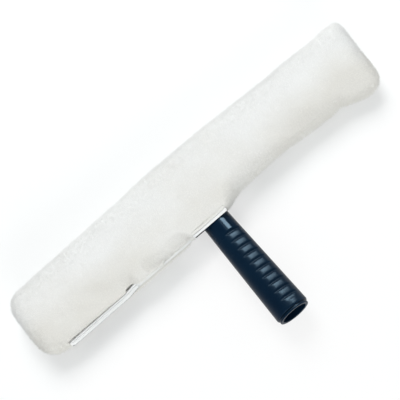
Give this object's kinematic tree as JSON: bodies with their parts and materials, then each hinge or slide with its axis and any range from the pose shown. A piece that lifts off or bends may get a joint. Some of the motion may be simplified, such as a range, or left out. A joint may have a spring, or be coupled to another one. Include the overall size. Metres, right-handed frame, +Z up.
{
  "type": "window washer",
  "caption": "T-bar window washer: a soft white fleece sleeve with a hook-and-loop closure on a flat-oval crossbar, with a ribbed navy handle that takes a pole.",
  "frame": {"origin": "under the middle of the whole tool, on the plane that the back of the sleeve lies on", "axes": "+X along the crossbar, away from the closure end; -Y along the handle towards its open end; +Z up, out of the front of the sleeve"},
  "size_m": [0.38, 0.1806, 0.0398],
  "materials": {
    "bar_aluminium": "mill-finish extrusion",
    "plug_plastic": "moulded, satin",
    "navy_plastic": "moulded, glossy navy",
    "fastener_steel": "stainless, bright",
    "white_fleece": "deep soft pile, off-white",
    "white_tape": "woven polyester tape",
    "hook_and_loop": "nylon hook and loop, white"
  },
  "bodies": {
    "tool": {"crossbar_tube": "bar_aluminium", "left_end_plug": "plug_plastic", "right_end_plug": "plug_plastic", "handle": "navy_plastic", "handle_screws": "fastener_steel", "handle_washers": "fastener_steel", "handle_nuts": "fastener_steel", "fleece_sleeve": "white_fleece", "slot_tape_front": "white_tape", "slot_tape_back": "white_tape", "loop_tape": "hook_and_loop"},
    "flap": {"closure_flap": "white_tape", "hook_tape": "hook_and_loop"}
  },
  "joints": [
    {"name": "flap_hinge", "type": "hinge", "parent": "tool", "child": "flap", "pos_m": [-0.097, 0.01975, 0.012], "axis": [1, 0, 0], "range_deg": [0, 120]}
  ]
}
